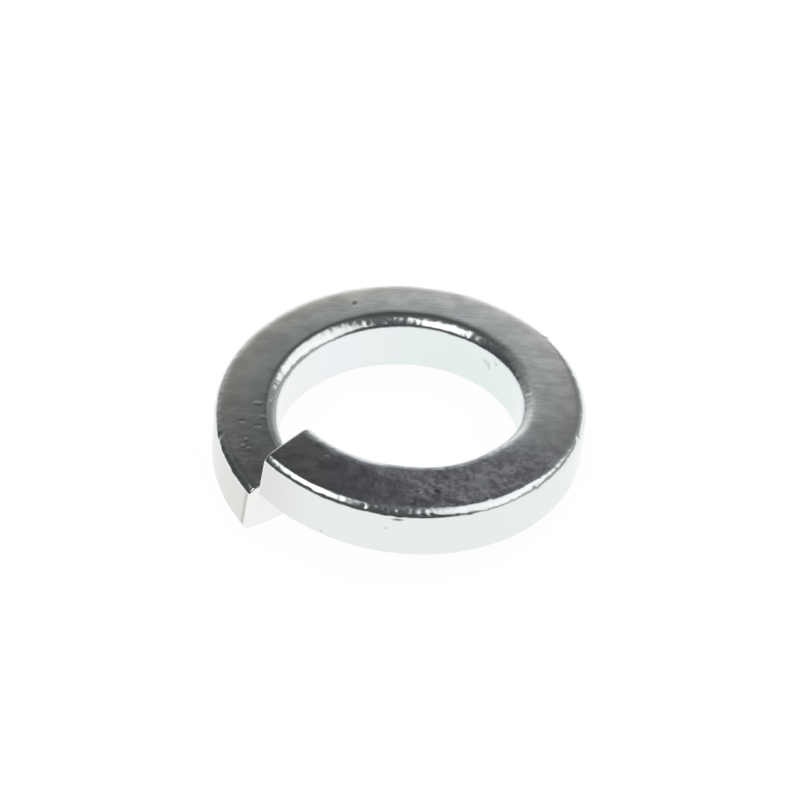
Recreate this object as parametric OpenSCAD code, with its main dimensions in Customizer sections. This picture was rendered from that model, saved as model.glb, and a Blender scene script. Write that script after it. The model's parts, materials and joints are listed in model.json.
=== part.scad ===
// Spring lock washer, one turn of nearly square wire wound left-handed and sheared through once.
// It lies flat with the bore axis on Z, rising clockwise as seen from above from its low end to
// its high end. The origin is on the bore axis, level with the underside of the low end.

/* [Bore and wire] */
// Diameter of the bore, a clearance hole for a 6 mm bolt
bore_d = 6.1; // [5.8:0.1:6.8]
// Width of the wire, from the bore out to the rim
wire_w = 1.6; // [1.4:0.05:2]
// Thickness of the wire along the bore axis, at the middle of its width
wire_t = 1.6; // [1.3:0.05:2]
// Slope of the top and of the underside, which winding leaves thicker at the bore, in degrees
keystone = 4; // [0:0.5:5]

/* [Spring form] */
// Free height, from the lowest point of the low end to the highest point of the high end
free_h = 3.2; // [2.4:0.1:4]
// Width of the gap between the two ends, measured round the middle of the wire
gap_w = 0.3; // [0.2:0.05:0.8]
// Direction in which the low end lies, in degrees from +X towards +Y
low_end_at = 221; // [0:1:359]
// Lean of both sheared ends from upright, in degrees
shear_lean = 5.5; // [0:0.5:8]
// Turn of the high end's shear from the radius, which leaves its bore side longer, in degrees
high_end_skew = 5; // [0:0.5:8]

/* [Rolled corners] */
// Width of the rounding at the bore, taken from the flat
bore_corner_w = 0.34; // [0.1:0.02:0.5]
// Height of the rounding at the bore, taken from the wall
bore_corner_h = 0.28; // [0.1:0.02:0.5]
// Width of the rounding at the rim, taken from the flat
rim_corner_w = 0.23; // [0.1:0.02:0.5]
// Height of the rounding at the rim, taken from the wall
rim_corner_h = 0.22; // [0.1:0.02:0.5]

/* [Smoothness] */
// Steps in which the wire is wound round the turn
turn_steps = 120; // [60:10:160]
// Steps round each corner of the wire
corner_steps = 4; // [3:1:6]

/* [Hidden] */

bore_r = bore_d / 2;
rim_r = bore_r + wire_w;
mid_r = bore_r + wire_w / 2;
// Thickness where the flats meet the rounding at the bore, the thickest place
thickest = wire_t + 2 * (wire_w / 2 - bore_corner_w) * tan(keystone);
rise = free_h - thickest;
turn = 360 - gap_w / mid_r * 180 / PI;
// How far the wound wire runs past the bore and the rim before both are sized true
sizing = 0.01;
// How far the sizing tools reach past the top and the underside
reach = 1;
$fn = 180;

// Height of the upper flat above the middle of the wire, at a radius
function flat_h(r) = wire_t / 2 + (mid_r - r) * tan(keystone);

// One rounded corner of the upper half, from the wall to the flat or back, where side is 1 at
// the rim and -1 at the bore. It runs past its wall by the sizing and is a quarter of an ellipse.
function corner(wall_r, w, h, side) = [
    for (i = [0 : corner_steps])
        let (
            a = 90 * i / corner_steps,
            reach_w = w + sizing,
            r = wall_r + side * (sizing - reach_w * (1 - cos(a)))
        )
        [r, flat_h(wall_r - side * w) - h * (1 - sin(a))]
];

function mirrored(points) = [for (i = [len(points) - 1 : -1 : 0]) [points[i].x, -points[i].y]];
function reversed(points) = [for (i = [len(points) - 1 : -1 : 0]) points[i]];

// The wire's section as radius and height from its middle, anticlockwise from the rim's wall
function wire_section() =
    let (
        rim = corner(rim_r, rim_corner_w, rim_corner_h, 1),
        bore = reversed(corner(bore_r, bore_corner_w, bore_corner_h, -1)),
        upper = concat(rim, bore)
    )
    concat(upper, mirrored(upper));

// A point of the section carried along the wire, where along runs from 0 at the low end to 1.
// The lean and the skew shift it along the wire, which shapes the two sheared ends.
function wound(point, along) =
    let (
        lean = atan(-point.y * tan(shear_lean) / point.x),
        skew = along * atan((mid_r - point.x) * tan(high_end_skew) / point.x),
        wound_angle = turn * along + lean + skew,
        a = low_end_at - wound_angle,
        z = thickest / 2 + rise * wound_angle / turn + point.y
    )
    [point.x * cos(a), point.x * sin(a), z];

// The wire wound into one left-hand turn, closed by a flat at each end
module wound_wire() {
    section = wire_section();
    n = len(section);
    points = [for (step = [0 : turn_steps]) for (p = section) wound(p, step / turn_steps)];
    sides = [
        for (step = [0 : turn_steps - 1]) for (i = [0 : n - 1])
            let (j = (i + 1) % n, a = step * n, b = a + n)
            each [[a + i, b + i, b + j], [a + i, b + j, a + j]]
    ];
    low_end = [for (i = [0 : n - 1]) i];
    high_end = [for (i = [n - 1 : -1 : 0]) turn_steps * n + i];
    polyhedron(points = points, faces = concat(sides, [low_end, high_end]), convexity = 4);
}

// The wound wire, with its rim and its bore sized to true round walls
module washer() {
    color([0.76, 0.77, 0.78])
        difference() {
            intersection() {
                wound_wire();
                translate([0, 0, -reach]) cylinder(r = rim_r, h = free_h + 2 * reach);
            }
            translate([0, 0, -2 * reach]) cylinder(r = bore_r, h = free_h + 4 * reach);
        }
}

washer();
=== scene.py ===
import json
import math
import bmesh
import bpy
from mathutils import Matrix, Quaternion, Vector

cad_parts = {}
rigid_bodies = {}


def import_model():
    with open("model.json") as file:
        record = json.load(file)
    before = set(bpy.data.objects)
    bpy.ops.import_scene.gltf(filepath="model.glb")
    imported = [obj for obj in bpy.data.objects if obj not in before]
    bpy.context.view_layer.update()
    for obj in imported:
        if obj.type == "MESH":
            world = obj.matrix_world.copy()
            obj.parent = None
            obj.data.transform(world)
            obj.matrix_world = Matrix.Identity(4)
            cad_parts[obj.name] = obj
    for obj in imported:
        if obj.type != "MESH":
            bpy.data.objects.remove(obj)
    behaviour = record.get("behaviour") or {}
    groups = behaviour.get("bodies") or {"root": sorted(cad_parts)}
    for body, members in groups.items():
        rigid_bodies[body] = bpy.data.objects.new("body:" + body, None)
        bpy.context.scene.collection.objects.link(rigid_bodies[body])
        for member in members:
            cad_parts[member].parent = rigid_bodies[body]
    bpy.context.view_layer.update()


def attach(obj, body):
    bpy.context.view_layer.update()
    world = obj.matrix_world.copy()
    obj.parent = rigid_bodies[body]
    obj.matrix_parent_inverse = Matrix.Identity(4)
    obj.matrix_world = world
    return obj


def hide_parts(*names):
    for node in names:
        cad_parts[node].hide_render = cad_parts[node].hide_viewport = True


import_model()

# ---------------------------------------------------------------------------------------------
# The washer: one turn of nearly square spring-steel wire. It is cold rolled to a section with
# rounded corners, coiled left-handed and sheared through, which leaves two blunt ends one above
# the other. Coiling squeezes the bore side thicker, and the finished washer is zinc plated.

MM = 0.001
bore_r = 3.05 * MM
wire_w = 1.6 * MM
wire_t = 1.6 * MM
keystone = math.radians(4)
free_h = 3.2 * MM
gap_w = 0.3 * MM
low_end_at = math.radians(221)
shear_lean = math.radians(5.5)
high_end_skew = math.radians(5)
bore_corner = (0.34 * MM, 0.28 * MM)
rim_corner = (0.23 * MM, 0.22 * MM)
end_rounding = 0.04 * MM
# How full each corner is, where 0.5 is a true quarter of an ellipse
bore_fullness, rim_fullness = 0.46, 0.5
crown = 0.011 * MM

mid_r = bore_r + wire_w / 2
rim_r = bore_r + wire_w
thickest = wire_t + 2 * (wire_w / 2 - bore_corner[0]) * math.tan(keystone)
rise = free_h - thickest
turn = 2 * math.pi - gap_w / mid_r
spare = math.radians(9)
steps = 540
fine = 1e-8


def pick(test, kind="verts"):
    """Selects those vertices, edges or faces of the edited mesh whose middle passes the test."""
    mesh = bmesh.from_edit_mesh(bpy.context.object.data)
    for part in (*mesh.verts, *mesh.edges, *mesh.faces):
        part.select = False
    for part in getattr(mesh, kind):
        corners = [part] if kind == "verts" else part.verts
        if test(part, sum((v.co for v in corners), Vector()) / len(corners)):
            part.select_set(True)
    bmesh.update_edit_mesh(bpy.context.object.data)


# The wire's section stands upright on the X axis, where the coiling starts
bpy.ops.object.select_all(action="DESELECT")
start_z = thickest / 2 - rise * spare / turn
bpy.ops.mesh.primitive_plane_add(
    size=1, location=(mid_r, 0, start_z), rotation=(math.pi / 2, 0, 0)
)
wire = bpy.context.active_object
wire.name = wire.data.name = "washer_wire"
wire.scale = (wire_w, wire_t, 1)
bpy.ops.object.transform_apply(location=True, rotation=True, scale=True)

bpy.ops.object.mode_set(mode="EDIT")
bpy.ops.mesh.select_mode(type="VERT")
swell = math.tan(keystone) * wire_w / wire_t
for at_bore in (True, False):
    pick(lambda v, p: (p.x < mid_r) == at_bore)
    bpy.ops.transform.resize(
        value=(1, 1, 1 + swell if at_bore else 1 - swell), center_override=(mid_r, 0, start_z)
    )
for at_bore, (width, height), fullness in (
    (True, bore_corner, bore_fullness),
    (False, rim_corner, rim_fullness),
):
    pick(lambda v, p: True)
    bpy.ops.transform.resize(value=(height / width, 1, 1), center_override=(0, 0, start_z))
    ends = sorted(v.co.x for v in bmesh.from_edit_mesh(wire.data).verts)
    wall = ends[0] if at_bore else ends[-1]
    pick(lambda v, p: abs(p.x - wall) < fine)
    bpy.ops.mesh.bevel(offset=height, segments=10, affect="VERTICES", profile=fullness)
    pick(lambda v, p: True)
    bpy.ops.transform.resize(value=(width / height, 1, 1), center_override=(0, 0, start_z))
bpy.ops.mesh.select_mode(type="EDGE")
pick(lambda e, p: e.calc_length() > 0.6 * MM, "edges")
bpy.ops.mesh.subdivide(number_cuts=13)
bpy.ops.mesh.select_mode(type="VERT")
for up in (1, -1):  # rolled slightly crowned
    pick(lambda v, p: abs(p.x - mid_r) < 0.05 * MM and (p.z - start_z) * up > 0)
    bpy.ops.transform.translate(
        value=(0, 0, crown * up),
        use_proportional_edit=True,
        proportional_edit_falloff="SPHERE",
        proportional_size=0.62 * MM,
    )
bpy.ops.mesh.select_mode(type="FACE")
pick(lambda f, p: True, "faces")
bpy.ops.mesh.delete(type="ONLY_FACE")
bpy.ops.object.mode_set(mode="OBJECT")

# Coiled clockwise as seen from above, with a little wire to spare past each shear cut
coil = wire.modifiers.new("coil", "SCREW")
coil.axis = "Z"
coil.angle = -(turn + 2 * spare)
coil.screw_offset = rise * (turn + 2 * spare) / turn
coil.steps = coil.render_steps = steps
coil.use_merge_vertices = False
bpy.ops.object.modifier_apply(modifier="coil")
wire.rotation_euler.z = low_end_at + spare
bpy.ops.object.transform_apply(location=True, rotation=True, scale=True)


# Sheared through on two leaning planes, which drops the spare wire. Each end has its middle,
# the way along the wire, the way square to its cut, and the way out of the wire.
ends = []
bpy.ops.object.mode_set(mode="EDIT")
bpy.ops.mesh.select_mode(type="EDGE")
for azimuth, height, skew, out in (
    (low_end_at, thickest / 2, 0, -1),
    (low_end_at - turn, thickest / 2 + rise, high_end_skew, 1),
):
    outward = Vector((math.cos(azimuth), math.sin(azimuth), 0))
    along = Vector((math.sin(azimuth), -math.cos(azimuth), 0))
    square = along + math.tan(shear_lean) * Vector((0, 0, 1)) + math.tan(skew) * outward
    square.normalize()
    middle = outward * mid_r + Vector((0, 0, height))
    ends.append((middle, square * out))
    pick(
        lambda e, p: e.is_boundary
        and abs(math.atan2(p.dot(along), p.dot(outward)) * out - spare) < 0.05 * spare,
        "edges",
    )
    for _ in range(20):
        bpy.ops.mesh.select_more()
    bpy.ops.mesh.bisect(
        plane_co=middle - square * out * end_rounding,
        plane_no=square,
        clear_inner=out < 0,
        clear_outer=out > 0,
        threshold=0.5 * 0.001 * MM,
    )

# The shear rolls the rim of each cut over a little. The cut itself is closed with a patch.
for middle, out in ends:
    rim = lambda e, p: (
        e.is_boundary
        and -1.1 * end_rounding < (p - middle).dot(out) < 0.1 * end_rounding
        and (p - middle).length < wire_w
    )
    pick(rim, "edges")
    bpy.ops.mesh.edge_face_add()
    bpy.ops.mesh.select_mode(type="FACE")
    face = next(f for f in bmesh.from_edit_mesh(wire.data).faces if f.select)
    if face.normal.dot(out) < 0:
        bpy.ops.mesh.flip_normals()
    for step in range(3):
        a, b = (math.radians(30 * (step + k)) for k in (0, 1))
        bpy.ops.mesh.inset(
            use_even_offset=False,
            thickness=end_rounding * (math.cos(a) - math.cos(b)),
            depth=end_rounding * (math.sin(b) - math.sin(a)),
        )
    bpy.ops.mesh.delete(type="ONLY_FACE")
    bpy.ops.mesh.select_mode(type="EDGE")
    pick(rim, "edges")
    loop = [e for e in bmesh.from_edit_mesh(wire.data).edges if e.select]
    if len(loop) % 2:  # the patch needs an even number
        longest = max(loop, key=lambda e: e.calc_length())
        pick(lambda e, p: e is longest, "edges")
        bpy.ops.mesh.subdivide(number_cuts=1)
        pick(rim, "edges")
    bpy.ops.mesh.fill_grid(span=24)
pick(lambda f, p: True, "faces")
bpy.ops.mesh.normals_make_consistent(inside=False)

# Knocks from tumbling, on the upper edges: where each lies in degrees, its width and its depth
bpy.ops.mesh.select_mode(type="VERT")
edge_at = {"rim": (rim_r - 0.07 * MM, 0.70 * MM), "bore": (bore_r + 0.10 * MM, 0.75 * MM)}
for edge, knocks in (
    ("rim", ((196, 0.16, 0.022), (262, 0.12, 0.018), (269, 0.12, 0.02), (273.5, 0.14, 0.02))),
    ("rim", ((279.9, 0.08, 0.018), (282.7, 0.08, 0.018), (301, 0.12, 0.012), (320, 0.14, 0.015))),
    ("rim", ((348.5, 0.13, 0.022), (20, 0.12, 0.012), (75, 0.15, 0.012), (140, 0.12, 0.015))),
    ("rim", ((247, 0.10, 0.01), (39.5, 0.10, -0.03))),
    ("bore", ((10, 0.14, 0.010), (110, 0.10, 0.006))),
):
    r, up = edge_at[edge]
    for azimuth, wide, deep in knocks:
        a = math.radians(azimuth)
        outward = Vector((math.cos(a), math.sin(a), 0))
        back = (low_end_at - a) % (2 * math.pi)
        spot = outward * r + Vector((0, 0, thickest / 2 + rise * back / turn + up))
        verts = bmesh.from_edit_mesh(wire.data).verts
        nearest = min(verts, key=lambda v: (v.co - spot).length)
        pick(lambda v, p: v is nearest)
        inward = Vector((0, 0, -1)) + outward * (-1 if edge == "rim" else 1)
        bpy.ops.transform.translate(
            value=inward.normalized() * deep * MM,
            use_proportional_edit=True,
            proportional_edit_falloff="SMOOTH",
            proportional_size=wide * MM,
        )
bpy.ops.object.mode_set(mode="OBJECT")


def past_low_end(point):
    """How far round the turn a point lies from the low end, in radians."""
    angle = (low_end_at - math.atan2(point.y, point.x)) % (2 * math.pi)
    past_low, past_high = ((point - middle).dot(out) for middle, out in ends)
    if angle > turn - 0.3 and past_low < past_high:
        angle -= 2 * math.pi  # on the low end, just past the middle of its leaning cut
    return angle


# The bore's upper corner is rolled flat and sharp round the front, and wider round the back. This
# fades out before both ends, so that their cuts stay flat.
reshaped = 0.75 * MM  # how far it reaches from the bore onto the flat
fade = 0.8  # radians
narrower, flatter, wider = 0.32, 0.8, 0.22
front_from, front_over = 0.15, 0.55  # as shares of the radius towards the front
for v in wire.data.vertices:
    r = math.hypot(v.co.x, v.co.y)
    angle = past_low_end(v.co)
    inner_flat = thickest / 2 + rise * angle / turn + wire_t / 2
    below = inner_flat + (mid_r - r) * math.tan(keystone) - v.co.z
    width = r - bore_r
    if width < reshaped and below < bore_corner[1] + 0.05 * MM:
        frontward = min(max((-v.co.y / r - front_from) / front_over, 0), 1)
        rearward = min(max(v.co.y / r, 0), 1)
        frontward *= frontward * (3 - 2 * frontward)
        frontward *= min(max(min(angle, turn - angle) / fade, 0), 1)
        new_corner = bore_corner[0] * (1 - narrower * frontward + wider * rearward)
        if width < bore_corner[0] + fine:
            width *= new_corner / bore_corner[0]
            below *= 1 - flatter * frontward
        else:
            squeezed = (reshaped - new_corner) / (reshaped - bore_corner[0])
            width = reshaped - (reshaped - width) * squeezed
        v.co.x *= (bore_r + width) / r
        v.co.y *= (bore_r + width) / r
        v.co.z = inner_flat + (mid_r - bore_r - width) * math.tan(keystone) - below

# No rolled edge is perfect: the corners wander a little, and the flats hardly at all
corners = wire.vertex_groups.new(name="corners")
for v in wire.data.vertices:
    lean = abs(v.normal.z)
    corners.add([v.index], 1.0 if 0.2 < lean < 0.96 else 0.12, "REPLACE")
for name, across, depth in (("waver", 0.8, 0.016), ("dimples", 0.2, 0.008)):
    rolled = bpy.data.textures.new(name, "CLOUDS")
    rolled.noise_scale = across * MM
    rolled.noise_depth = 1
    uneven = wire.modifiers.new(name, "DISPLACE")
    uneven.texture = rolled
    uneven.texture_coords = "LOCAL"
    uneven.strength = depth * MM
    uneven.mid_level = 0.5
    uneven.vertex_group = "corners"
    bpy.ops.object.modifier_apply(modifier=name)
bpy.ops.object.shade_smooth_by_angle(angle=math.radians(50))

# Where each point lay on the straight wire, in metres: along it, across it and up it
straight = wire.data.attributes.new("straight_wire", "FLOAT_VECTOR", "POINT")
for v in wire.data.vertices:
    angle = past_low_end(v.co)
    r = math.hypot(v.co.x, v.co.y)
    straight.data[v.index].vector = (angle * mid_r, r, v.co.z - rise * angle / turn)


def linear(hex_colour):
    """An sRGB colour such as #E3E6E8 as Blender's linear values."""
    parts = (int(hex_colour[i : i + 2], 16) / 255 for i in (1, 3, 5))
    return [c / 12.92 if c <= 0.04045 else ((c + 0.055) / 1.055) ** 2.4 for c in parts] + [1]


def add_node(tree, kind, inputs=(), **settings):
    """Adds a node with its settings, and gives its outputs. Inputs are values or other outputs."""
    made = tree.nodes.new("ShaderNode" + kind)
    for name, value in settings.items():
        setattr(made, name, value)
    for key, value in dict(inputs).items():
        if isinstance(value, bpy.types.NodeSocket):
            tree.links.new(value, made.inputs[key])
        else:
            made.inputs[key].default_value = value
    return made.outputs


# Bright zinc plating over cold-rolled steel: a pale, slightly blue metal. The walls and corners
# are smooth and mirror the room. The flats carry fine streaks, pits and scuffs from rolling and
# from tumbling, and are duller where they are most marked.
zinc = bpy.data.materials.new("zinc_plated_spring_steel")
zinc.use_nodes = True
t = zinc.node_tree
t.nodes.clear()
place = add_node(t, "TexCoord")["Object"]
along = add_node(t, "Attribute", attribute_name="straight_wire")["Vector"]
xyz = add_node(t, "SeparateXYZ", {0: place})
straight = add_node(t, "SeparateXYZ", {0: along})
facing = add_node(t, "SeparateXYZ", {0: add_node(t, "NewGeometry")["Normal"]})["Z"]
upright = add_node(t, "Math", {0: facing}, operation="ABSOLUTE")[0]

# Grain of each pattern in mm, and how much longer it is each way
grain = {}
for name, follows, size, longer, detail, roughness in (
    ("streak", place, 0.08, (10, 1, 1), 2, 0.5),
    ("mottle", place, 0.42, (1.3, 1, 1), 3, 0.5),
    ("cells", place, 0.15, (1, 1, 1), 1, 0.5),
    ("ragged", place, 0.30, (1, 1, 1), 1, 0.5),
    ("beads", place, 0.13, (1, 1, 1), 0, 0.5),
    ("drawn", along, 0.04, (60, 1, 1), 2, 0.5),
    ("blotch", place, 0.17, (1, 1, 1), 2, 0.6),
):
    scale = [1 / (size * MM * k) for k in longer]
    spread = add_node(t, "Mapping", {"Vector": follows, "Scale": scale})[0]
    grain[name] = add_node(
        t, "TexNoise", {"Vector": spread, "Scale": 1, "Detail": detail, "Roughness": roughness}
    )["Fac"]

# Where each finish lies, as a soft step of one measure from nought to all
part = {}
for name, measure, low, high in (
    ("flat", upright, 0.93, 0.985),
    ("wall", upright, 0.3, 0.1),
    ("front", xyz["Y"], -0.6 * MM, -3.0 * MM),
    ("left", xyz["X"], -1.5 * MM, -3.6 * MM),
    ("leftward", xyz["X"], 1.5 * MM, -2.5 * MM),
    ("rearward", xyz["Y"], -2.5 * MM, 0.5 * MM),
    ("right_of_end", xyz["X"], -2.6 * MM, -0.6 * MM),
    ("rightward", xyz["X"], -1.0 * MM, 1.5 * MM),
    ("inner", straight["Y"], mid_r, bore_r + 0.1 * MM),
    ("inside", straight["Y"], mid_r + 0.3 * MM, mid_r - 0.3 * MM),
    ("outside", straight["Y"], mid_r - 0.1 * MM, mid_r + 0.5 * MM),
    ("mottled", grain["mottle"], 0.36, 0.66),
    ("blotched", grain["blotch"], 0.38, 0.64),
):
    part[name] = add_node(
        t, "MapRange", {0: measure, 1: low, 2: high}, interpolation_type="SMOOTHSTEP"
    )[0]
for name, one, other in (
    ("front_flat", "front", "flat"),
    ("left_flat", "left", "flat"),
    # The front flats right of the low end get a darker bluish-violet painted reflection
    ("front_violet_painted_reflection", "front_flat", "right_of_end"),
    # The left outer wall is given painted shade, as it mirrors the dimmer table there
    ("left_wall_painted_shade", "left", "wall"),
    ("bore", "inner", "wall"),
    # The left part of the bore is given painted light, as it mirrors the bright right side
    ("left_bore_painted_light", "leftward", "bore"),
    ("rear_flat", "rearward", "flat"),
    # The cool inner and warm outer tints on the back flats are painted reflection of the room
    ("cool_painted_reflection", "inside", "rear_flat"),
    ("warm_painted_reflection", "outside", "rear_flat"),
    ("warm_left_painted_reflection", "outside", "leftward"),
    ("warm_left_painted_reflection", "warm_left_painted_reflection", "rear_flat"),
    ("mottled_flat", "mottled", "flat"),
    # Mottle on the front flats, made darker there as painted shade
    ("front_mottle_and_painted_shade", "mottled", "front_flat"),
    # Blotches on the front-right flats, partly real marks and partly painted shade that darkens
    # them
    ("front_blotches_and_painted_shade", "blotched", "front_flat"),
    ("front_blotches_and_painted_shade", "front_blotches_and_painted_shade", "rightward"),
):
    part[name] = add_node(t, "Math", {0: part[one], 1: part[other]}, operation="MULTIPLY")[0]
edges = add_node(t, "Math", {0: 1.0, 1: part["flat"]}, operation="SUBTRACT")[0]
edges = add_node(t, "Math", {0: edges, 1: part["wall"]}, operation="SUBTRACT")[0]
everywhere = add_node(t, "Math", {0: part["flat"], 1: -0.5, 2: 1.0}, operation="MULTIPLY_ADD")[0]

# Heights in thousandths of a millimetre: the pattern, where it lies and how deep it is
height = 0.0
for pattern, where, deep in (
    ("streak", part["flat"], 2.0),
    ("streak", part["left_flat"], -1.2),
    ("streak", part["front_flat"], -0.8),
    ("mottle", part["flat"], 3.0),
    ("mottle", part["front_flat"], 9.0),
    ("cells", part["flat"], 1.2),
    ("cells", part["front_flat"], 1.8),
    ("ragged", edges, 12.0),
    ("beads", edges, 5.5),
    ("drawn", everywhere, 0.35),
):
    here = add_node(t, "Math", {0: grain[pattern], 1: where}, operation="MULTIPLY")[0]
    height = add_node(t, "Math", {0: here, 1: deep, 2: height}, operation="MULTIPLY_ADD")[0]

# Single marks: where each lies and its reach each way in mm, its height as above, its darkness
marks = (
    ((-1.444, 3.631, 2.101), (0.10, 0.14, 0.1), -6, 0.6),
    ((-3.559, -0.173, 1.817), (0.16, 0.10, 0.1), 6, 0),
    ((-3.387, -0.628, 1.792), (0.12, 0.09, 0.1), 4, 0),
    ((-3.482, -0.927, 1.762), (0.13, 0.09, 0.1), -4, 0),
    ((-3.90, -0.80, 1.75), (0.14, 0.08, 0.1), -4, 0),
    ((-3.732, -1.423, 1.709), (0.09, 0.08, 0.1), 4, 0),
    ((-3.785, -1.629, 1.690), (0.08, 0.08, 0.1), 4, 0),
    ((-3.627, -1.712, 1.689), (0.08, 0.08, 0.1), 4, 0),
    ((-1.647, -3.179, 3.113), (0.08, 0.07, 0.1), 3, 0),
    ((0.699, -3.820, 2.929), (0.11, 0.10, 0.1), 8, 0),
    ((1.090, -3.765, 2.901), (0.13, 0.10, 0.1), -5, 0.5),
    ((2.392, -3.663, 2.796), (0.09, 0.11, 0.1), 8, 0),
    ((2.034, 2.273, 1.837), (0.12, 0.12, 0.14), -3, 0.22),
    ((2.123, 2.189, 1.784), (0.08, 0.08, 0.20), -3, 0.28),
    ((2.296, 2.007, 2.046), (0.10, 0.10, 0.07), -3, 0.32),
    ((-1.597, -4.367, 1.739), (0.06, 0.06, 0.04), -2, 0.45),
    ((-0.026, -4.650, 2.363), (0.05, 0.05, 0.05), -2, 0.35),
    ((0.24, -4.65, 2.68), (0.22, 0.10, 0.06), -2, 0.8),
)
dark = 0.0
for centre, reach, deep, darkness in marks:
    scale = [1 / (k * MM) for k in reach]
    shift = [-c / k for c, k in zip(centre, reach)]
    off = add_node(t, "Mapping", {"Vector": place, "Scale": scale, "Location": shift})[0]
    off = add_node(t, "VectorMath", {0: off}, operation="LENGTH")["Value"]
    mark = add_node(t, "MapRange", {0: off, 1: 1, 2: 0.2}, interpolation_type="SMOOTHSTEP")[0]
    height = add_node(t, "Math", {0: mark, 1: deep, 2: height}, operation="MULTIPLY_ADD")[0]
    if darkness:
        dark = add_node(t, "Math", {0: mark, 1: darkness, 2: dark}, operation="MULTIPLY_ADD")[0]
bump = add_node(t, "Bump", {"Height": height, "Distance": 0.001 * MM})[0]

# The sheared faces are painted paler as painted light, and a strip of the wall beside the low one
# is painted darker as a painted reflection of the dim room
sheared = 0.0
wire_length = turn * mid_r / MM
for (middle, out), first, last in (
    (ends[1], wire_length - 0.6, wire_length - 0.4),
    (ends[0], 0.6, 0.4),
):
    past = add_node(t, "VectorMath", {0: place, 1: out}, operation="DOT_PRODUCT")["Value"]
    past = add_node(t, "Math", {0: past, 1: middle.dot(out)}, operation="SUBTRACT")[0]
    this_end = add_node(t, "MapRange", {0: straight["X"], 1: first * MM, 2: last * MM})[0]
    cut = add_node(t, "MapRange", {0: past, 1: -0.055 * MM, 2: -0.035 * MM})[0]
    sheared = add_node(t, "Math", {0: cut, 1: this_end, 2: sheared}, operation="MULTIPLY_ADD")[0]
# The low end came last, so its own measures are still at hand for the painted dark strip
painted_dark_strip = add_node(t, "MapRange", {0: past, 1: -0.20 * MM, 2: -0.11 * MM})[0]
painted_dark_strip = add_node(t, "Math", {0: painted_dark_strip, 1: cut}, operation="SUBTRACT")[0]
for where in (part["wall"], this_end):
    painted_dark_strip = add_node(t, "Math", {0: painted_dark_strip, 1: where}, operation="MULTIPLY")[0]

plate = linear("#E8ECEC")
for where, strength, tone in (
    # Painted reflection: a cool tint on the inner part of the back flats and warm tints on the
    # outer part
    (part["cool_painted_reflection"], 0.7, "#D3DDDE"),
    (part["warm_painted_reflection"], 0.5, "#E8E7E2"),
    (part["warm_left_painted_reflection"], 0.8, "#E8E4DA"),
    # Painted shade: the left outer wall is darker
    (part["left_wall_painted_shade"], 1.0, "#DDDDDA"),
    (part["bore"], 1.0, "#E6EFEE"),
    # Painted light: the left part of the bore is paler and bluer
    (part["left_bore_painted_light"], 1.0, "#EFF1F3"),
    # Painted reflection: the front flats are darker and bluish-violet
    (part["front_violet_painted_reflection"], 0.8, "#D6D9E6"),
    (part["mottled_flat"], 0.5, "#BAC0BE"),
    # Real mottle, darkened on the front flats as painted shade
    (part["front_mottle_and_painted_shade"], 0.5, "#A6A8B2"),
    # Blotches on the front-right flats: partly real marks, partly painted shade
    (part["front_blotches_and_painted_shade"], 0.75, "#8A8C94"),
    # Painted reflection: a dark strip on the wall beside the low end
    (painted_dark_strip, 0.6, "#A9ABAA"),
    (dark, 1.0, "#4E5054"),
    # Painted light: the sheared faces are paler
    (sheared, 1.0, "#F1F2EF"),
):
    where = add_node(t, "Math", {0: where, 1: strength}, operation="MULTIPLY", use_clamp=True)[0]
    plate = add_node(t, "Mix", {0: where, 6: plate, 7: linear(tone)}, data_type="RGBA")[2]

rough = 0.12
for where, deep in (
    (grain["mottle"], 0.06),
    (part["flat"], 0.04),
    (part["front_flat"], -0.03),
    (edges, 0.06),
):
    rough = add_node(t, "Math", {0: where, 1: deep, 2: rough}, operation="MULTIPLY_ADD")[0]
metal = add_node(
    t,
    "BsdfPrincipled",
    {"Base Color": plate, "Metallic": 1.0, "Roughness": rough, "Normal": bump},
)[0]
add_node(t, "OutputMaterial", {"Surface": metal})
wire.data.materials.clear()
wire.data.materials.append(zinc)

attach(wire, "root")
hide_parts("washer")

# ---------------------------------------------------------------------------------------------
# The set: the washer lies on its low end and on the far side of its turn, so a level table is
# tilted under it here. The table is white paper. A dim grey tent closes the room above it, and
# metal mirrors that, with one broad white panel on the right and a narrow one on the left.

rest_up = Vector((-0.12036, -0.02393, 0.99244)).normalized()
rest_height = 0.372 * MM

bpy.ops.mesh.primitive_circle_add(vertices=128, radius=0.5, fill_type="NGON")
table = bpy.context.active_object
table.name = "table"
table.rotation_mode = "QUATERNION"
table.rotation_quaternion = Vector((0, 0, 1)).rotation_difference(rest_up)
table.location = rest_up * rest_height
paper = bpy.data.materials.new("white_paper")
paper.use_nodes = True
p = paper.node_tree
p.nodes.clear()
path = add_node(p, "LightPath")
seen = 0.0
for ray in ("Is Camera Ray", "Is Glossy Ray", "Is Transmission Ray"):
    seen = add_node(p, "Math", {0: path[ray], 1: 0.95, 2: seen}, operation="MULTIPLY_ADD")[0]
sheet = add_node(p, "BsdfDiffuse", {"Color": linear("#F2F3F4")})[0]
white = add_node(p, "Emission", {"Color": (1, 1, 1, 1), "Strength": 1.0})[0]
sheet = add_node(p, "MixShader", {0: seen, 1: sheet, 2: white})[0]
# From below the sheet isn't seen, so that it doesn't hide the underside
below = add_node(p, "NewGeometry")["Backfacing"]
clear = add_node(p, "BsdfTransparent")[0]
sheet = add_node(p, "MixShader", {0: below, 1: sheet, 2: clear})[0]
add_node(p, "OutputMaterial", {"Surface": sheet})
table.data.materials.append(paper)

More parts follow.
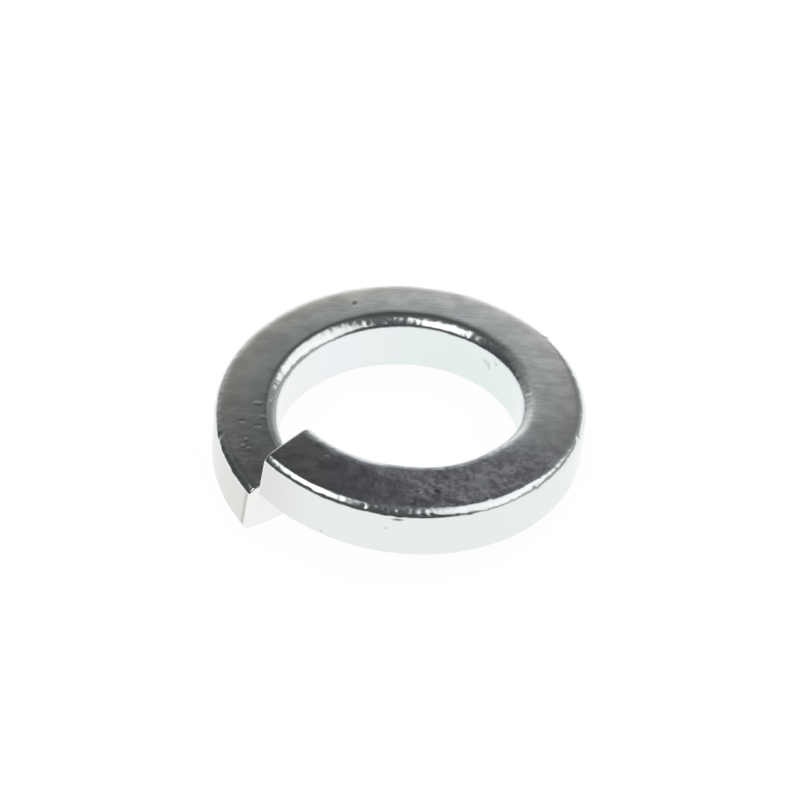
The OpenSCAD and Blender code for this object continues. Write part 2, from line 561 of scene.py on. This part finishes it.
tent_r = 0.6
bpy.ops.mesh.primitive_uv_sphere_add(segments=64, ring_count=32, radius=tent_r)
tent = bpy.context.active_object
tent.name = "tent"
bpy.ops.object.shade_smooth()
tent.visible_camera = tent.visible_diffuse = tent.visible_shadow = False
grey = bpy.data.materials.new("grey_cloth")
grey.use_nodes = True
g = grey.node_tree
g.nodes.clear()
side = add_node(g, "SeparateXYZ", {0: add_node(g, "TexCoord")["Object"]})
level = add_node(g, "Math", {0: side["Z"], 1: tent_r}, operation="DIVIDE")[0]
azimuth = add_node(g, "Math", {0: side["Y"], 1: side["X"]}, operation="ARCTAN2")[0]
lit = {}
for name, stops in (
    (
        "far left",
        (
            (0.0, 0.40), (0.15, 0.34), (0.36, 0.24), (0.53, 0.20), (0.64, 0.19), (0.74, 0.13),
            (0.82, 0.08), (1.0, 0.065),
        ),
    ),
    (
        "back",
        (
            (0.0, 0.95), (0.30, 0.86), (0.40, 0.74), (0.50, 0.53), (0.56, 0.40), (0.60, 0.33),
            (0.635, 0.24), (0.695, 0.20), (0.73, 0.19), (0.765, 0.085), (0.80, 0.075),
            (1.0, 0.075),
        ),
    ),
    (
        "left",
        (
            (0.0, 0.95), (0.30, 0.90), (0.40, 0.80), (0.50, 0.62), (0.60, 0.41), (0.635, 0.31),
            (0.663, 0.27), (0.70, 0.27), (0.731, 0.265), (0.777, 0.16), (0.81, 0.10), (1.0, 0.07),
        ),
    ),
    (
        "right",
        (
            (0.0, 0.75), (0.17, 0.52), (0.34, 0.28), (0.50, 0.21), (0.64, 0.21), (0.745, 0.34),
            (0.79, 0.17), (0.87, 0.20), (0.92, 0.25), (0.955, 0.10), (1.0, 0.07),
        ),
    ),
):
    cloth = g.nodes.new("ShaderNodeValToRGB")
    while len(cloth.color_ramp.elements) < len(stops):
        cloth.color_ramp.elements.new(0.5)
    for stop, (at, value) in zip(cloth.color_ramp.elements, stops):
        stop.position = at
        stop.color = (value, value, value, 1)
    g.links.new(level, cloth.inputs[0])
    lit[name] = cloth.outputs[0]
# Each side of the tent: between which azimuths it fades in and out, in degrees, and its tone
shade = (0.062, 0.067, 0.070, 1)
low = add_node(g, "MapRange", {0: level, 1: 0.22, 2: 0.14})[0]
shade = add_node(g, "Mix", {0: low, 6: shade, 7: (0.045, 0.05, 0.052, 1)}, data_type="RGBA")[2]
for name, none, full, still_full, gone in (
    ("far left", 96, 104, 140, 161),
    ("back", 60, 70, 98, 104),
    ("left", 88, 98, 104, 134),
    ("right", -45, -25, 77, 83),
):
    there = 1.0
    for one, other in ((none, full), (gone, still_full)):
        fade = add_node(
            g, "MapRange", {0: azimuth, 1: math.radians(one), 2: math.radians(other)}
        )[0]
        there = add_node(g, "Math", {0: there, 1: fade}, operation="MULTIPLY")[0]
    shade = add_node(g, "Mix", {0: there, 6: shade, 7: lit[name]}, data_type="RGBA")[2]
add_node(g, "OutputMaterial", {"Surface": add_node(g, "Emission", {"Color": shade})[0]})
tent.data.materials.append(grey)

panel_r = 0.4  # how far the panels stand from the washer


def panel(name, azimuth, height, width, tall, lean, radiance):
    """A white panel of light that faces the washer. It is placed, sized and leant in degrees."""
    a, e = math.radians(azimuth), math.radians(height)
    way = Vector((math.cos(a) * math.cos(e), math.sin(a) * math.cos(e), math.sin(e)))
    lamp = bpy.data.lights.new(name, "AREA")
    lamp.shape = "RECTANGLE"
    lamp.size = 2 * panel_r * math.tan(math.radians(width / 2))
    lamp.size_y = 2 * panel_r * math.tan(math.radians(tall / 2))
    lamp.energy = radiance * math.pi * lamp.size * lamp.size_y
    light = bpy.data.objects.new(name, lamp)
    light.location = way * panel_r
    light.rotation_mode = "QUATERNION"
    light.rotation_quaternion = way.to_track_quat("Z", "Y") @ Quaternion(
        (0, 0, 1), math.radians(lean)
    )
    light.visible_camera = False
    bpy.context.scene.collection.objects.link(light)


panel("right_panel", -4, 51, 66, 48, 13, 0.9)
panel("left_panel", 219, 55, 31, 48, 27, 1.5)

world = bpy.data.worlds.new("room")
bpy.context.scene.world = world
world.use_nodes = True
world.node_tree.nodes["Background"].inputs[0].default_value = (1, 1, 1, 1)
world.node_tree.nodes["Background"].inputs[1].default_value = 1.0
bpy.context.scene.view_settings.view_transform = "Standard"

# ---------------------------------------------------------------------------------------------
# The camera: a long lens 116 mm away, 44 degrees above the washer and rolled to the left. Its
# focal length was fitted in pixels of a picture 800 pixels wide.

focal_px, picture_px, sensor_width = 4578.1, 800, 36
up = math.radians(43.778)
roll = math.radians(6.258)
distance = 25 * rim_r
eye = Vector((0, -math.cos(up), math.sin(up))) * distance
aim = Vector((-0.028, 1.170, 1.221)) * MM
cam = bpy.data.cameras.new("camera")
cam.lens = focal_px * sensor_width / picture_px
cam.sensor_width = sensor_width
cam.clip_start, cam.clip_end = 0.005, 5
camera = bpy.data.objects.new("camera", cam)
camera.location = eye
camera.rotation_mode = "QUATERNION"
camera.rotation_quaternion = (aim - eye).to_track_quat("-Z", "Y") @ Quaternion((0, 0, 1), roll)
bpy.context.scene.collection.objects.link(camera)
bpy.context.scene.camera = camera
